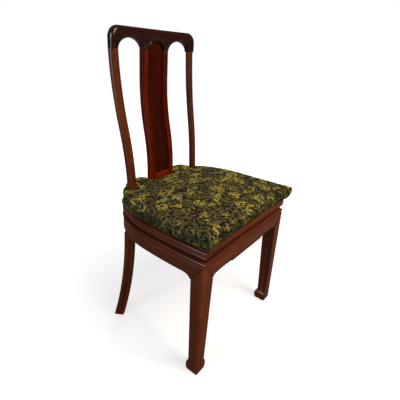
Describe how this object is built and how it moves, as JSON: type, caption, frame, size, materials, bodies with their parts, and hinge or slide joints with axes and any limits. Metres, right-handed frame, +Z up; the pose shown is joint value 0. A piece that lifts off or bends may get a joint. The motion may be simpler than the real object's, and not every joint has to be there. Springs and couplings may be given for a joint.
{
  "type": "side chair",
  "caption": "Dark rosewood side chair in the Chinese manner, with a framed splat back, hoof front feet and a loose green and gold brocade seat cushion.",
  "frame": {"origin": "on the floor, under the middle of the chair's overall width and depth", "axes": "+Z up, -Y towards the front edge of the seat, +X to the right of someone who stands in front of the chair and faces it"},
  "size_m": [0.531, 0.4732, 1.005],
  "materials": {
    "rosewood": "clear lacquer, semi-gloss",
    "dark_rosewood": "clear lacquer, semi-gloss",
    "red_rosewood": "clear lacquer, semi-gloss",
    "brocade": "silk brocade, green ground with gold scrolls",
    "foam": "open-cell foam"
  },
  "bodies": {
    "chair": {"front_leg_left": "rosewood", "front_leg_right": "rosewood", "rear_leg_left": "rosewood", "rear_leg_right": "rosewood", "back_post_left": "rosewood", "back_post_right": "rosewood", "crest_rail": "dark_rosewood", "splat_stile_left": "red_rosewood", "splat_stile_right": "red_rosewood", "splat_bottom_rail": "red_rosewood", "splat_panel": "rosewood", "seat_rail_front": "rosewood", "seat_rail_left": "rosewood", "seat_rail_right": "rosewood", "seat_rail_rear": "rosewood", "seat_panel": "red_rosewood", "seat_batten": "red_rosewood", "waist_front": "dark_rosewood", "waist_left": "dark_rosewood", "waist_right": "dark_rosewood", "waist_rear": "dark_rosewood", "apron_front": "rosewood", "apron_left": "rosewood", "apron_right": "rosewood", "apron_rear": "rosewood"},
    "cushion": {"cushion_cover": "brocade", "cushion_foam": "foam"}
  },
  "joints": [
    {"name": "cushion_lift", "type": "slide", "parent": "chair", "child": "cushion", "axis": [0, 0, 1], "range_m": [0, 0.04]}
  ]
}
